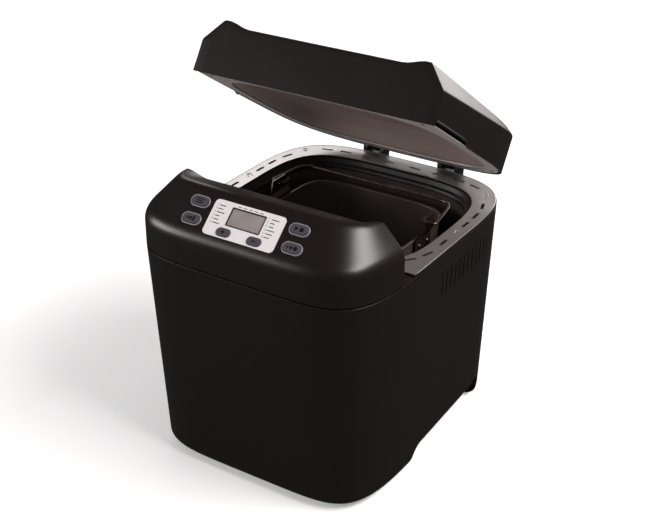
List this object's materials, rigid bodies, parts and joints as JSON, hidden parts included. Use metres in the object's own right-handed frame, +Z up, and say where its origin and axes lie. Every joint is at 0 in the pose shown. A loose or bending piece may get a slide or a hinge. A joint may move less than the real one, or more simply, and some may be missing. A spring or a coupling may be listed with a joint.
{
  "type": "bread machine",
  "caption": "Countertop bread machine with a tapered body, sloped control console, hinged lid, and a baking chamber holding a lift-out pan with a folding bail and kneading paddle.",
  "frame": {"origin": "bottom centre of the whole box with the lid standing open as at rest: the level of the feet, on the mid-plane of the machine", "axes": "+Z up; +X to the right of a person who faces the console; -Y towards that person, so the console is at -Y and the lid hinge at +Y"},
  "size_m": [0.266, 0.3424, 0.4164],
  "materials": {
    "black_plastic": "satin moulded, very fine texture",
    "dark_plastic": "matt moulded",
    "rim_silver": "satin silver",
    "label_silver": "satin silver film",
    "lcd_grey": "glossy window over a grey display",
    "button_grey": "soft matt",
    "ring_grey": "satin pale grey",
    "nonstick": "dark non-stick coating, satin",
    "lid_steel": "brown-grey coated steel",
    "steel": "plain",
    "rubber": "matt",
    "board_green": "circuit board lacquer",
    "brass": "turned"
  },
  "bodies": {
    "base": {"body_shell": "black_plastic", "base_plate": "dark_plastic", "cord_inlet": "rubber", "foot_front_left": "rubber", "foot_front_right": "rubber", "foot_rear_left": "rubber", "foot_rear_right": "rubber", "front_console": "black_plastic", "label_plate": "label_silver", "lcd_window": "lcd_grey", "lcd_module": "dark_plastic", "control_board": "board_green", "menu_ring": "ring_grey", "colour_ring": "ring_grey", "start_ring": "ring_grey", "weight_ring": "ring_grey", "rim_plate": "rim_silver", "chamber_collar": "dark_plastic", "chamber_liner": "nonstick", "heating_element": "steel", "temperature_probe": "brass", "pan_seat_ring": "steel", "shaft_bearing": "brass", "motor_body": "steel", "drive_belt": "rubber", "chassis_plate": "steel", "motor_capacitor": "label_silver", "power_board": "board_green", "transformer": "dark_plastic", "hinge_bracket_left": "dark_plastic", "hinge_bracket_right": "dark_plastic", "hinge_pin_left": "steel", "hinge_pin_right": "steel"},
    "drive": {"drive_shaft": "steel", "driven_pulley": "dark_plastic", "drive_socket": "steel"},
    "motor": {"motor_shaft": "steel", "motor_pulley": "dark_plastic"},
    "pan": {"bread_pan": "nonstick", "pan_foot_ring": "steel", "pan_bearing": "brass", "bail_ear_right": "steel", "bail_ear_left": "steel"},
    "bail": {"bail_handle": "steel"},
    "paddle": {"paddle_shaft": "steel", "kneading_paddle": "nonstick"},
    "lid": {"lid_shell": "black_plastic", "lid_inner_plate": "rim_silver", "lid_reflector": "lid_steel", "lid_screw_front_left": "steel", "lid_screw_front_right": "steel", "lid_screw_rear_left": "steel", "lid_screw_rear_right": "steel"},
    "plus": {"plus_button": "button_grey"},
    "minus": {"minus_button": "button_grey"},
    "menu": {"menu_button": "button_grey"},
    "colour": {"colour_button": "button_grey"},
    "start": {"start_button": "button_grey"},
    "weight": {"weight_button": "button_grey"}
  },
  "joints": [
    {"name": "lid_hinge", "type": "hinge", "parent": "base", "child": "lid", "pos_m": [0, 0.15697, 0.2364], "axis": [-1, 0, 0], "range_deg": [-33.5, 56.5]},
    {"name": "pan_lift", "type": "slide", "parent": "base", "child": "pan", "axis": [0, 0, 1], "range_m": [0, 0.04]},
    {"name": "bail_swing", "type": "hinge", "parent": "pan", "child": "bail", "pos_m": [0, 0.02837, 0.232], "axis": [1, 0, 0], "range_deg": [0, 170]},
    {"name": "drive_spin", "type": "hinge", "parent": "base", "child": "drive", "pos_m": [0, 0.02837, 0.024], "axis": [0, 0, 1], "continuous": true},
    {"name": "motor_spin", "type": "hinge", "parent": "base", "child": "motor", "pos_m": [0, -0.11673, 0.024], "axis": [0, 0, 1], "continuous": true},
    {"name": "paddle_spin", "type": "hinge", "parent": "pan", "child": "paddle", "pos_m": [0, 0.02837, 0.09], "axis": [0, 0, 1], "continuous": true},
    {"name": "plus_press", "type": "slide", "parent": "base", "child": "plus", "axis": [0, 0.6646, -0.7472], "range_m": [0, 0.0012], "stiffness_N_per_m": 800},
    {"name": "minus_press", "type": "slide", "parent": "base", "child": "minus", "axis": [0, 0.6646, -0.7472], "range_m": [0, 0.0012], "stiffness_N_per_m": 800},
    {"name": "menu_press", "type": "slide", "parent": "base", "child": "menu", "axis": [0, 0.6646, -0.7472], "range_m": [0, 0.0012], "stiffness_N_per_m": 800},
    {"name": "colour_press", "type": "slide", "parent": "base", "child": "colour", "axis": [0, 0.6646, -0.7472], "range_m": [0, 0.0012], "stiffness_N_per_m": 800},
    {"name": "start_press", "type": "slide", "parent": "base", "child": "start", "axis": [0, 0.6646, -0.7472], "range_m": [0, 0.0012], "stiffness_N_per_m": 800},
    {"name": "weight_press", "type": "slide", "parent": "base", "child": "weight", "axis": [0, 0.6646, -0.7472], "range_m": [0, 0.0012], "stiffness_N_per_m": 800}
  ],
  "couplings": [
    {"joint": "paddle_spin", "follows": "drive_spin", "ratio": 1},
    {"joint": "motor_spin", "follows": "drive_spin", "ratio": 5}
  ]
}
